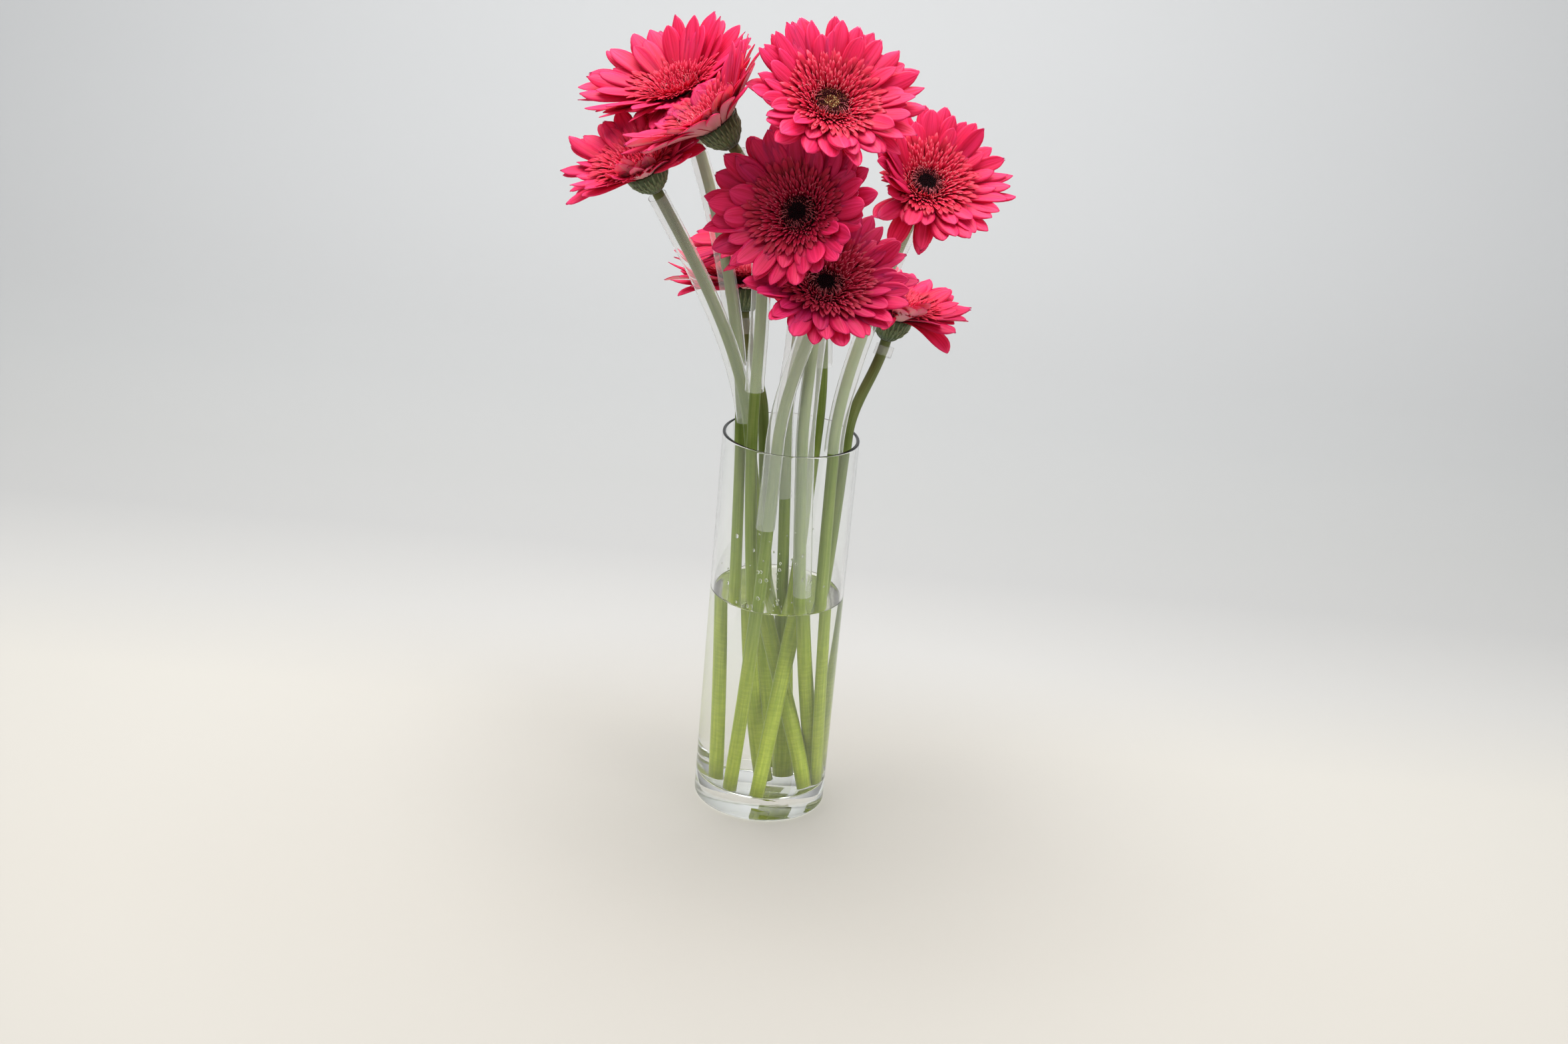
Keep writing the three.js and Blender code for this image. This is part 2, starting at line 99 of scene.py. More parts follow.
# One row a flower, as the solids have it. head is the middle of the eye. facing is the compass
# angle from the front towards the right, then the angle above the horizon. radius is the bloom's
# reach and cup how far its rim stands over the eye. mouth, knee and foot are where the stem leaves
# the vase, bends and stands. sleeve is the height of the sleeve's lower end, and lean the side on
# which it hangs clear.
# Angles round a bloom count from its right as seen from in front, in degrees. bent lists petals
# that curl on their own: angle, curl at the tip. sides lists where the petals differ: from and to
# which angle, lift and curl in degrees, shares of the length and width, and how much painted shade
# darkens the petals there, where they stand in shade (below zero, painted light lightens them).
# One more entry gives the painted shade of the whole bloom, for a bloom that stands in the shade
# of those over it. shut marks an eye that the florets hide, and pollen an open one.
FLOWERS = [
    dict(head=(-103, 36, 530), facing=(-51, 62), radius=63, cup=16,
         mouth=(-38, 13), knee=(-30, -2), foot=(-27, -10),
         sleeve=335, lean=(-1, -1.4), bent=[(40, 30), (84, 26)],
         pollen=0, painted_shade=0, shut=1,
         sides=[(85, 190, 9, 0, 1, 1.05, 0), (191, 275, 0, 0, 1.1, 1, 0),
                (300, 359, -4, -6, 0.9, 1, 0.3)]),
    dict(head=(-72, -46, 526), facing=(-77, 50), radius=56, cup=21,
         mouth=(-27, -31), knee=(-20, -22), foot=(2, 2),
         sleeve=335, lean=(-0.3, -1), bent=[],
         pollen=0, painted_shade=0, shut=1,
         sides=[(140, 250, 4, -8, 0.66, 1.05, 0.55), (60, 125, 8, 0, 1.02, 0.9, 0),
                (-50, 50, 3, -10, 1, 0.85, 0), (255, 305, 0, -4, 1.08, 0.9, 0)]),
    dict(head=(-119, -25, 487), facing=(-52, 56), radius=53, cup=14,
         mouth=(-31, 1), knee=(-11, 13), foot=(29, -15),
         sleeve=300, lean=(-1, 0.6), bent=[(235, -45), (310, 30)],
         pollen=0, painted_shade=0, shut=1,
         sides=[(90, 189, 8, 0, 1, 1, 0), (285, 350, 10, 20, 0.7, 0.8, 0),
                (190, 260, 0, 0, 1.07, 0.9, 0)]),
    dict(head=(7, -55, 545), facing=(16, 49), radius=60, cup=17,
         mouth=(19, 21), knee=(14, 10), foot=(-1, -40),
         sleeve=340, lean=(0.3, 1), bent=[],
         pollen=1, painted_shade=0, shut=0,
         sides=[(225, 315, 0, -8, 0.92, 1.08, 0)]),
    dict(head=(78, 6, 485), facing=(14, 51), radius=58, cup=13,
         mouth=(31, -24), knee=(32, -19), foot=(36, -6),
         sleeve=292, lean=(0.2, -1), bent=[(230, -45), (255, -55)],
         pollen=0, painted_shade=0, shut=0,
         sides=[(140, 215, 26, 0, 0.95, 1, 0.25), (-40, 30, -3, 0, 1.03, 0.85, 0)]),
    dict(head=(-9, -74, 474), facing=(-23, 31), radius=57, cup=19,
         mouth=(9, -32), knee=(17, -28), foot=(30, 8),
         sleeve=178, lean=(1, -0.2), bent=[],
         pollen=0, painted_shade=0.32, shut=0,
         sides=[(100, 240, -4, 0, 1.05, 1.25, 0.1), (0, 99, 0, 0, 1, 1.15, 0.1),
                (250, 300, 0, -14, 0.95, 1, -0.2)]),
    dict(head=(14, -79, 429), facing=(11, 54), radius=59, cup=16,
         mouth=(-9, -36), knee=(-11, -34), foot=(-20, -30),
         sleeve=232, lean=(-1, -0.2), bent=[],
         pollen=0, painted_shade=0.46, shut=0,
         sides=[(60, 150, 6, 0, 1.02, 1, 0.15), (230, 300, 0, -12, 0.95, 1, 0)]),
    dict(head=(67, 47, 381), facing=(69, 80), radius=57, cup=12,
         mouth=(41, 8), knee=(37, 12), foot=(24, 28),
         sleeve=345, lean=(0.6, 1), bent=[(248, -38)],
         pollen=0, painted_shade=0, shut=1,
         sides=[(130, 230, 12, -4, 1, 0.9, 0), (235, 262, 0, 0, 1.12, 1.1, 0.3)]),
    dict(head=(-46, 88, 382), facing=(-140, 84), radius=56, cup=16,
         mouth=(-22, 34), knee=(-9, 24), foot=(6, 36),
         sleeve=340, lean=(-0.5, 1), bent=[(90, -70)],
         pollen=0, painted_shade=0, shut=1,
         sides=[(-40, 80, -12, -8, 1.05, 1, 0)]),
    dict(head=(-31, 61, 428), facing=(-72, 56), radius=55, cup=11,
         mouth=(-4, 15), knee=(5, 5), foot=(11, 14),
         sleeve=240, lean=(-1, 0), bent=[],
         pollen=0, painted_shade=0, shut=1,
         sides=[(200, 330, 0, 0, 1.15, 1, 0.2)]),
]

# ---------------------------------------------------------------- camera, lights and stage

PHOTO_SENSOR = 36
PHOTO_LENS = 49.2
CAMERA_PLACE = Vector((8, -1475, 797)) * MM
CAMERA_YAW, CAMERA_PITCH, CAMERA_ROLL = (math.radians(a) for a in (-0.29, 21.22, 5.25))
# How bright the tent is where it is seen or mirrored, and where it lights the flowers
TENT_SEEN = 0.8
TENT_FILL = 0.28
# Enough for a ray to cross the glass, the water and the drops and come out again
LIGHT_BOUNCES = 24
# The pale sheet, in metres: half its width, its near edge, where it turns up, the turn's radius,
# how high it goes, and how far it lies under the vase
STAGE_HALF = 4
STAGE_NEAR = -2.5
STAGE_BEND = 1.2
STAGE_TURN = 0.9
STAGE_TOP = 4
STAGE_GAP = 0.0003
STAGE_STEPS = 14


def make_camera():
    """The photograph's camera, as fitted to the vase."""
    forward = Vector((math.sin(CAMERA_YAW) * math.cos(CAMERA_PITCH),
                      math.cos(CAMERA_YAW) * math.cos(CAMERA_PITCH), -math.sin(CAMERA_PITCH)))
    level = Vector((math.cos(CAMERA_YAW), -math.sin(CAMERA_YAW), 0))
    upright = level.cross(forward)
    right = level * math.cos(CAMERA_ROLL) + upright * math.sin(CAMERA_ROLL)
    up = upright * math.cos(CAMERA_ROLL) - level * math.sin(CAMERA_ROLL)
    data = bpy.data.cameras.new("camera")
    data.lens = PHOTO_LENS
    data.sensor_width = PHOTO_SENSOR
    data.sensor_fit = "HORIZONTAL"
    camera = bpy.data.objects.new("camera", data)
    turn = Matrix((right, up, -forward)).transposed().to_4x4()
    camera.matrix_world = Matrix.Translation(CAMERA_PLACE) @ turn
    bpy.context.scene.collection.objects.link(camera)
    bpy.context.scene.camera = camera


def area_light(name, place, target, size, power):
    """A round lamp in metres and watts, aimed at target."""
    data = bpy.data.lights.new(name, "AREA")
    data.shape = "DISK"
    data.size = size
    data.energy = power
    light = bpy.data.objects.new(name, data)
    light.location = place
    light.rotation_euler = (Vector(target) - Vector(place)).to_track_quat("-Z", "Y").to_euler()
    bpy.context.scene.collection.objects.link(light)


def make_lights():
    """A tent, bright behind the vase and darker where it lights the flowers, and three lamps."""
    scene = bpy.context.scene
    scene.view_settings.view_transform = "Standard"
    scene.cycles.max_bounces = LIGHT_BOUNCES
    scene.cycles.transmission_bounces = LIGHT_BOUNCES
    scene.world = bpy.data.worlds.new("studio")
    scene.world.use_nodes = True
    tree = scene.world.node_tree
    path = node(tree, "ShaderNodeLightPath")
    dimmed = node(tree, "ShaderNodeMath", {
        0: path.outputs["Is Diffuse Ray"], 1: TENT_FILL - TENT_SEEN, 2: TENT_SEEN},
        operation="MULTIPLY_ADD")
    background = tree.nodes["Background"]
    heading = node(tree, "ShaderNodeSeparateXYZ", {
        "Vector": node(tree, "ShaderNodeTexCoord").outputs["Generated"]})
    farther = node(tree, "ShaderNodeMath", {0: heading.outputs["Y"], 1: heading.outputs["Z"]},
                   operation="MAXIMUM")
    spread = node(tree, "ShaderNodeMapRange", {"Value": farther.outputs[0], "From Min": -1.0})
    tent = ramp(tree, spread.outputs["Result"], [(0.2, (0.3, 0.3, 0.31)), (0.6, (0.95, 0.98, 1))])
    tree.links.new(tent, background.inputs["Color"])
    tree.links.new(dimmed.outputs[0], background.inputs["Strength"])
    middle = (0, 0, 0.4)
    area_light("overhead", (-0.15, 0.25, 2.2), middle, 2.2, 78)
    area_light("window", (-1.5, -0.8, 1.3), middle, 1.4, 5)
    area_light("fill", (1.6, -1.0, 1.0), middle, 1.2, 10)


def make_stage():
    """A pale sheet that lies under the vase and sweeps up behind it."""
    bm = bmesh.new()
    spots = [(STAGE_NEAR, 0), (STAGE_BEND, 0)]
    for k in range(1, STAGE_STEPS + 1):
        turn = math.pi / 2 * k / STAGE_STEPS
        spots.append((STAGE_BEND + STAGE_TURN * math.sin(turn),
                      STAGE_TURN - STAGE_TURN * math.cos(turn)))
    spots.append((STAGE_BEND + STAGE_TURN, STAGE_TOP))
    edge = [bm.verts.new((-STAGE_HALF, y, z)) for y, z in spots]
    lines = [bm.edges.new(pair) for pair in zip(edge, edge[1:])]
    swept = bmesh.ops.extrude_edge_only(bm, edges=lines)["geom"]
    moved = [v for v in swept if isinstance(v, bmesh.types.BMVert)]
    bmesh.ops.translate(bm, verts=moved, vec=(2 * STAGE_HALF, 0, 0))
    bmesh.ops.translate(bm, verts=bm.verts, vec=(0, 0, -STAGE_GAP))
    bmesh.ops.recalc_face_normals(bm, faces=bm.faces)
    mesh = bpy.data.meshes.new("stage")
    bm.to_mesh(mesh)
    for face in mesh.polygons:
        face.use_smooth = True
    stage = bpy.data.objects.new("stage", mesh)
    bpy.context.scene.collection.objects.link(stage)
    material, bsdf = material_named("stage paper")
    tree = material.node_tree
    depth = node(tree, "ShaderNodeSeparateXYZ", {
        "Vector": node(tree, "ShaderNodeTexCoord").outputs["Object"]}).outputs["Y"]
    near = node(tree, "ShaderNodeMapRange", {"Value": depth, "From Min": -0.2, "From Max": 2.2})
    # The paper's own tone, warm near the vase and neutral farther back, with painted light and
    # shade in its greys: darker across the floor behind the vase and lighter up the sweep, to give
    # the brightness of the lit backdrop
    shades = ramp(tree, near.outputs["Result"], [
        (0, (0.5, 0.474, 0.428)), (0.13, (0.505, 0.485, 0.444)), (0.2, (0.455, 0.447, 0.43)),
        (0.28, (0.395, 0.392, 0.385)), (0.36, (0.4, 0.4, 0.393)), (0.49, (0.425, 0.428, 0.425)),
        (0.67, (0.487, 0.49, 0.49)), (0.83, (0.558, 0.563, 0.566)), (1, (0.66, 0.665, 0.67))])
    tree.links.new(shades, bsdf.inputs["Base Color"])
    bsdf.inputs["Roughness"].default_value = 0.75
    mesh.materials.append(material)


# ---------------------------------------------------------------- materials

def material_named(name):
    """A new material and its main shader."""
    material = bpy.data.materials.new(name)
    material.use_nodes = True
    return material, material.node_tree.nodes["Principled BSDF"]


def node(tree, kind, inputs=None, **settings):
    """A node with its settings. Each input is linked to a socket or set to a value."""
    made = tree.nodes.new(kind)
    for key, value in settings.items():
        setattr(made, key, value)
    for key, value in (inputs or {}).items():
        if isinstance(value, bpy.types.NodeSocket):
            tree.links.new(value, made.inputs[key])
        else:
            made.inputs[key].default_value = value
    return made


def ramp(tree, factor, stops):
    """The colour at factor between stops of (place, colour)."""
    made = node(tree, "ShaderNodeValToRGB", {"Fac": factor})
    elements = made.color_ramp.elements
    while len(elements) < len(stops):
        elements.new(0.5)
    for element, (place, colour) in zip(elements, stops):
        element.position = place
        element.color = (*colour, 1)
    return made.outputs["Color"]


def mixed(tree, factor, first, second, blend="MIX"):
    """Two colours mixed. Colour sockets 6 and 7 and output 2 are the Mix node's own for RGBA."""
    made = node(tree, "ShaderNodeMix", data_type="RGBA", blend_type=blend)
    for place, value in ((0, factor), (6, first), (7, second)):
        socket = made.inputs[place]
        if isinstance(value, bpy.types.NodeSocket):
            tree.links.new(value, socket)
        else:
            socket.default_value = value
    return made.outputs[2]


def fibre_group():
    """Fine lines along a petal, bract or stem, and slower patches, from its UV map and tone."""
    group = bpy.data.node_groups.new("lengthwise_fibres", "ShaderNodeTree")
    for name, value in (("Lines", 8.0), ("Breaks", 1.0), ("Patches", 3.0)):
        socket = group.interface.new_socket(name, in_out="INPUT", socket_type="NodeSocketFloat")
        socket.default_value = value
    for name in ("Fibre", "Patch", "Along", "Tone"):
        group.interface.new_socket(name, in_out="OUTPUT", socket_type="NodeSocketFloat")
    enter = group.nodes.new("NodeGroupInput")
    leave = group.nodes.new("NodeGroupOutput")
    place = node(group, "ShaderNodeSeparateXYZ", {
        "Vector": node(group, "ShaderNodeUVMap", uv_map="strap").outputs["UV"]})
    tone = node(group, "ShaderNodeAttribute", attribute_name="tone").outputs["Fac"]
    across = node(group, "ShaderNodeMath", {0: place.outputs["X"], 1: enter.outputs["Lines"]},
                  operation="MULTIPLY")
    along = node(group, "ShaderNodeMath", {0: place.outputs["Y"], 1: enter.outputs["Breaks"]},
                 operation="MULTIPLY")
    shift = node(group, "ShaderNodeMath", {0: tone, 1: 37.0}, operation="MULTIPLY")
    spot = node(group, "ShaderNodeCombineXYZ", {
        "X": across.outputs[0], "Y": along.outputs[0], "Z": shift.outputs[0]})
    fibre = node(group, "ShaderNodeTexNoise", {
        "Vector": spot.outputs[0], "Scale": 1.0, "Detail": 3.0, "Roughness": 0.55})
    wide = node(group, "ShaderNodeCombineXYZ", {
        "X": place.outputs["X"], "Y": place.outputs["Y"], "Z": shift.outputs[0]})
    patch = node(group, "ShaderNodeTexNoise", {
        "Vector": wide.outputs[0], "Scale": enter.outputs["Patches"], "Detail": 2.0})
    group.links.new(fibre.outputs["Fac"], leave.inputs["Fibre"])
    group.links.new(patch.outputs["Fac"], leave.inputs["Patch"])
    group.links.new(place.outputs["Y"], leave.inputs["Along"])
    group.links.new(tone, leave.inputs["Tone"])
    return group


FIBRES = fibre_group()


def fibres(tree, lines, breaks, patches):
    made = node(tree, "ShaderNodeGroup", node_tree=FIBRES)
    made.inputs["Lines"].default_value = lines
    made.inputs["Breaks"].default_value = breaks
    made.inputs["Patches"].default_value = patches
    return made.outputs


def bumped(tree, bsdf, height, strength, distance):
    bump = node(tree, "ShaderNodeBump",
                {"Height": height, "Strength": strength, "Distance": distance})
    tree.links.new(bump.outputs["Normal"], bsdf.inputs["Normal"])


def petal_face():
    """Satin coral pink with darker lines, deeper at the root, and darker magenta where the tone is
    high, which is painted shade.
    """
    material, bsdf = material_named("petal face")
    tree = material.node_tree
    out = fibres(tree, 9, 0.9, 2.5)
    base = ramp(tree, out["Along"], [(0, (0.38, 0.002, 0.016)), (0.35, (0.66, 0.008, 0.055)),
                                     (0.8, (0.87, 0.026, 0.125)), (1, (0.92, 0.046, 0.17))])
    # Darker magenta mixed in by the tone: painted shade where a bloom or side stands in shade, and
    # a random share that makes petals seem to catch the light differently
    magenta = ramp(tree, out["Along"], [(0, (0.2, 0.002, 0.02)), (0.5, (0.4, 0.005, 0.07)),
                                        (1, (0.52, 0.014, 0.12))])
    cast = ramp(tree, out["Tone"], [(0.2, (0, 0, 0)), (1, (1, 1, 1))])
    toned = mixed(tree, cast, base, magenta)
    lined = mixed(tree, 1, toned, (0.76, 0.36, 0.52, 1), "MULTIPLY")
    lines = ramp(tree, out["Fibre"], [(0.36, (1, 1, 1)), (0.6, (0, 0, 0))])
    tree.links.new(mixed(tree, lines, toned, lined), bsdf.inputs["Base Color"])
    bsdf.inputs["Roughness"].default_value = 0.5
    bsdf.inputs["Specular IOR Level"].default_value = 0.16
    bsdf.inputs["Sheen Weight"].default_value = 0.06
    bsdf.inputs["Sheen Roughness"].default_value = 0.35
    bsdf.inputs["Sheen Tint"].default_value = (0.9, 0.15, 0.7, 1)
    bsdf.inputs["Subsurface Weight"].default_value = 0.4
    bsdf.inputs["Subsurface Radius"].default_value = (1, 0.15, 0.3)
    bsdf.inputs["Subsurface Scale"].default_value = 0.002
    bumped(tree, bsdf, out["Fibre"], 0.45, 0.0004)
    return material


def petal_back():
    """Dusty pale pink with olive streaks along the middle."""
    material, bsdf = material_named("petal underside")
    tree = material.node_tree
    out = fibres(tree, 10, 0.7, 3)
    base = ramp(tree, out["Along"], [(0, (0.85, 0.36, 0.33)), (0.45, (0.94, 0.26, 0.34)),
                                     (0.85, (0.95, 0.15, 0.27)), (1, (0.94, 0.08, 0.2))])
    olive = mixed(tree, out["Tone"], (0.8, 0.45, 0.36, 1), (0.6, 0.4, 0.2, 1))
    streaks = ramp(tree, out["Fibre"], [(0.5, (0, 0, 0)), (0.68, (0.6, 0.6, 0.6))])
    tree.links.new(mixed(tree, streaks, base, olive), bsdf.inputs["Base Color"])
    bsdf.inputs["Roughness"].default_value = 0.6
    bsdf.inputs["Subsurface Weight"].default_value = 0.45
    bsdf.inputs["Subsurface Radius"].default_value = (1, 0.25, 0.35)
    bsdf.inputs["Subsurface Scale"].default_value = 0.002
    bumped(tree, bsdf, out["Fibre"], 0.35, 0.0004)
    return material


def frill_material(name, shade_of, tip):
    """Crimson florets with paler rims, and pale tips where the tone is high. shade_of darkens the
    colours, as painted shade.
    """
    material, bsdf = material_named(name)
    tree = material.node_tree
    out = fibres(tree, 3, 1, 2)
    stops = ((0, (0.14, 0.001, 0.006)), (0.35, (0.5, 0.003, 0.025)),
             (0.75, (0.78, 0.01, 0.06)), (1, (0.88, 0.036, 0.115)))
    base = ramp(tree, out["Along"], [
        (place, tuple(part * share for part, share in zip(colour, shade_of)))
        for place, colour in stops])
    shade = ramp(tree, out["Patch"], [(0.3, (0.7, 0.6, 0.65)), (0.65, (1, 1, 1))])
    tips = mixed(tree, 1, ramp(tree, out["Along"], [(0.72, (0, 0, 0)), (0.95, (1, 1, 1))]),
                 out["Tone"], "MULTIPLY")
    tree.links.new(mixed(tree, tips, mixed(tree, 0.8, base, shade, "MULTIPLY"), (*tip, 1)),
                   bsdf.inputs["Base Color"])
    bsdf.inputs["Roughness"].default_value = 0.55
    bsdf.inputs["Specular IOR Level"].default_value = 0.25
    return material


def hair_material():
    """The thin lobes that curl up between the florets."""
    material, bsdf = material_named("curled floret lobes")
    tree = material.node_tree
    out = fibres(tree, 2, 1, 2)
    tree.links.new(ramp(tree, out["Along"], [(0, (0.5, 0.01, 0.05)), (0.6, (0.7, 0.06, 0.12)),
                                             (1, (0.85, 0.25, 0.28))]), bsdf.inputs["Base Color"])
    bsdf.inputs["Roughness"].default_value = 0.5
    return material


def eye_material(name, stops):
    """Unopened florets, coloured bud by bud from their tone."""
    material, bsdf = material_named(name)
    tree = material.node_tree
    tone = node(tree, "ShaderNodeAttribute", attribute_name="tone").outputs["Fac"]
    tree.links.new(ramp(tree, tone, stops), bsdf.inputs["Base Color"])
    bsdf.inputs["Roughness"].default_value = 0.7
    bsdf.inputs["Specular IOR Level"].default_value = 0.1
    return material


def green_material(name, stops, lines, breaks, strength, rings=0):
    """Mottled green with lengthwise streaks, and fine wrinkles round it below the share rings."""
    material, bsdf = material_named(name)
    tree = material.node_tree
    out = fibres(tree, lines, breaks, 9)
    base = ramp(tree, out["Along"], stops)
    if rings:
        wrinkle = ramp(tree, fibres(tree, 1.2, 380, 9)["Fibre"],
                       [(0.42, (0.84, 0.87, 0.74)), (0.56, (1, 1, 1))])
        where = ramp(tree, out["Along"],
                     [(rings * 0.9, (0.9, 0.9, 0.9)), (rings, (0.25, 0.25, 0.25))])
        base = mixed(tree, where, base, mixed(tree, 1, base, wrinkle, "MULTIPLY"))
    dark = mixed(tree, 1, base, (0.74, 0.82, 0.6, 1), "MULTIPLY")
    patches = ramp(tree, out["Patch"], [(0.4, (0, 0, 0)), (0.62, (1, 1, 1))])
    mottled = mixed(tree, patches, dark, base)
    streaked = mixed(tree, 1, mottled, (1.12, 1.1, 1.2, 1), "MULTIPLY")
    streaks = ramp(tree, out["Fibre"], [(0.5, (0, 0, 0)), (0.75, (1, 1, 1))])
    tree.links.new(mixed(tree, streaks, mottled, streaked), bsdf.inputs["Base Color"])
    bsdf.inputs["Roughness"].default_value = 0.55
    bsdf.inputs["Specular IOR Level"].default_value = 0.3
    bsdf.inputs["Sheen Weight"].default_value = 0.3
    bsdf.inputs["Sheen Roughness"].default_value = 0.35
    bumped(tree, bsdf, out["Fibre"], strength, 0.0006)
    return material


def clear_material(name, tint, index, roughness, milk=0):
    """Glass, water or film. Shadow rays pass it straight, so light reaches what stands inside."""
    material, bsdf = material_named(name)
    tree = material.node_tree
    bsdf.inputs["Base Color"].default_value = (*tint, 1)
    bsdf.inputs["Metallic"].default_value = 0
    bsdf.inputs["Transmission Weight"].default_value = 1 - milk
    bsdf.inputs["IOR"].default_value = index
    spot = node(tree, "ShaderNodeTexCoord").outputs["Object"]
    smears = node(tree, "ShaderNodeTexNoise", {"Vector": spot, "Scale": 60.0, "Detail": 2.0})
    rough = ramp(tree, smears.outputs["Fac"],
                 [(0.3, (roughness,) * 3), (0.8, (roughness * 1.8,) * 3)])
    tree.links.new(rough, bsdf.inputs["Roughness"])
    shadow_tint = (*(0.93 * part + 0.04 for part in tint), 1)
    clear = node(tree, "ShaderNodeBsdfTransparent", {"Color": shadow_tint})
    path = node(tree, "ShaderNodeLightPath")
    mix = node(tree, "ShaderNodeMixShader", {0: path.outputs["Is Shadow Ray"]})
    tree.links.new(bsdf.outputs[0], mix.inputs[1])
    tree.links.new(clear.outputs[0], mix.inputs[2])
    tree.links.new(mix.outputs[0], tree.nodes["Material Output"].inputs["Surface"])
    return material


MATERIALS = dict(
    petal_face=petal_face(),
    petal_back=petal_back(),
    frill=frill_material("frill florets", (1, 1, 1), (0.86, 0.42, 0.4)),
    # The same florets darkened by painted shade, for the blooms that stand in shade
    frill_in_painted_shade=frill_material("frill florets in painted shade", (0.7, 0.5, 0.8), (0.8, 0.24, 0.28)),
    hair=hair_material(),
    eye=eye_material("dark eye", [
        (0, (0.006, 0.001, 0.002)), (0.45, (0.03, 0.002, 0.006)),
        (0.75, (0.16, 0.008, 0.018)), (1, (0.5, 0.13, 0.12))]),
    pollen_eye=eye_material("eye with pollen", [
        (0, (0.015, 0.002, 0.003)), (0.45, (0.1, 0.006, 0.012)),
        (0.75, (0.34, 0.12, 0.05)), (1, (0.86, 0.66, 0.3))]),
    # from the foot under water up to the neck
    stem=green_material("stem skin", [
        (0, (0.5, 0.57, 0.055)), (0.24, (0.46, 0.54, 0.06)), (0.34, (0.31, 0.39, 0.07)),
        (0.55, (0.19, 0.255, 0.045)), (1, (0.15, 0.17, 0.06))], 12, 14, 0.4, rings=0.28),
    bract=green_material("calyx bracts", [
        (0, (0.06, 0.085, 0.035)), (0.5, (0.12, 0.16, 0.07)),
        (0.8, (0.24, 0.27, 0.15)), (1, (0.12, 0.1, 0.07))], 3, 1, 0.5),
    glass=clear_material("vase glass", (0.988, 0.995, 0.987), 1.46, 0.005),
    water=clear_material("still water", (0.997, 1, 0.992), 1.333, 0),
    sleeve=clear_material("clear sleeve film", (0.99, 0.99, 0.985), 1.14, 0.02, 0.09),
    misty_sleeve=clear_material("misty sleeve film", (0.99, 0.99, 0.985), 1.14, 0.02, 0.1),
)


# ---------------------------------------------------------------- making pieces

def finished(name, bm, materials, slot, *nodes):
    """Turns a bmesh in millimetres into a piece in metres, which stands for the CAD nodes."""
    bmesh.ops.scale(bm, vec=(MM, MM, MM), verts=bm.verts)
    mesh = bpy.data.meshes.new(name)
    bm.to_mesh(mesh)
    bm.free()
    for face in mesh.polygons:
        face.use_smooth = True
    for material in materials:
        mesh.materials.append(MATERIALS[material])
    piece = bpy.data.objects.new(name, mesh)
    bpy.context.scene.collection.objects.link(piece)
    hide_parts(*nodes)
    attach(piece, "root")
    return piece


def walled(piece, thickness, back=0):
    """A wall under the piece's skin. Its underside takes the material back places further on."""
    modifier = piece.modifiers.new("wall", "SOLIDIFY")
    modifier.thickness = thickness * MM
    modifier.offset = -1
    modifier.material_offset = back
    modifier.use_even_offset = False


def held(profile):
    """The profile with a point close to both ends of each long run, which keeps its sides true."""
    margin = 0.4
    points = [profile[0]]
    for start, end in zip(profile, profile[1:]):
        run = (Vector(end) - Vector(start)).length
        if run > 4 * margin:
            points += [tuple(Vector(start).lerp(Vector(end), share))
                       for share in (margin / run, 1 - margin / run)]
        points.append(end)
    return points


def spun(profile, steps):
    """A closed skin from a profile of (radius, height) turned round Z."""
    profile = held(profile)
    bm = bmesh.new()
    verts = [bm.verts.new((radius, 0, height)) for radius, height in profile]
    edges = [bm.edges.new(pair) for pair in zip(verts, verts[1:])]
    bmesh.ops.spin(bm, geom=verts + edges, cent=(0, 0, 0), axis=(0, 0, 1), angle=2 * math.pi,
                   steps=steps, use_merge=True)
    bmesh.ops.remove_doubles(bm, verts=bm.verts, dist=0.001)
    bmesh.ops.recalc_face_normals(bm, faces=bm.faces)
    return bm


def bloom_frame(flower):
    """The bloom's own frame: X to its right as seen from in front, Z out of its eye."""
    compass, rise = (math.radians(angle) for angle in flower["facing"])
    out = Vector((math.sin(compass) * math.cos(rise), -math.cos(compass) * math.cos(rise),
                  math.sin(rise)))
    side = Vector((0, 0, 1)).cross(out).normalized()
    turn = Matrix((side, out.cross(side), out)).transposed().to_4x4()
    return Matrix.Translation(flower["head"]) @ turn


def stem_line(flower):
    """Points from the stem's foot up to its neck, in one bend inside the vase and one above."""
    frame_of = bloom_frame(flower)
    foot = Vector((*flower["foot"], FLOOR + SEAT))
    knee = Vector((*flower["knee"], KNEE_HEIGHT))
    mouth = Vector((*flower["mouth"], VASE_HEIGHT))
    neck = frame_of @ Vector((0, 0, CALYX_FOOT))
    axis = frame_of.to_3x3() @ Vector((0, 0, 1))
    reach = (neck - mouth).length
    leave = mouth + (mouth - knee).normalized() * 0.35 * reach
    arrive = neck - axis * min(60, 0.4 * reach)
    points = []
    for k in range(WET_STEPS):
        t = k / WET_STEPS
        points.append(foot * (1 - t) ** 2 + knee * 2 * t * (1 - t) + mouth * t * t)
    for k in range(DRY_STEPS + 1):
        t = k / DRY_STEPS
        points.append(mouth * (1 - t) ** 3 + leave * 3 * t * (1 - t) ** 2
                      + arrive * 3 * t * t * (1 - t) + neck * t ** 3)
    return points


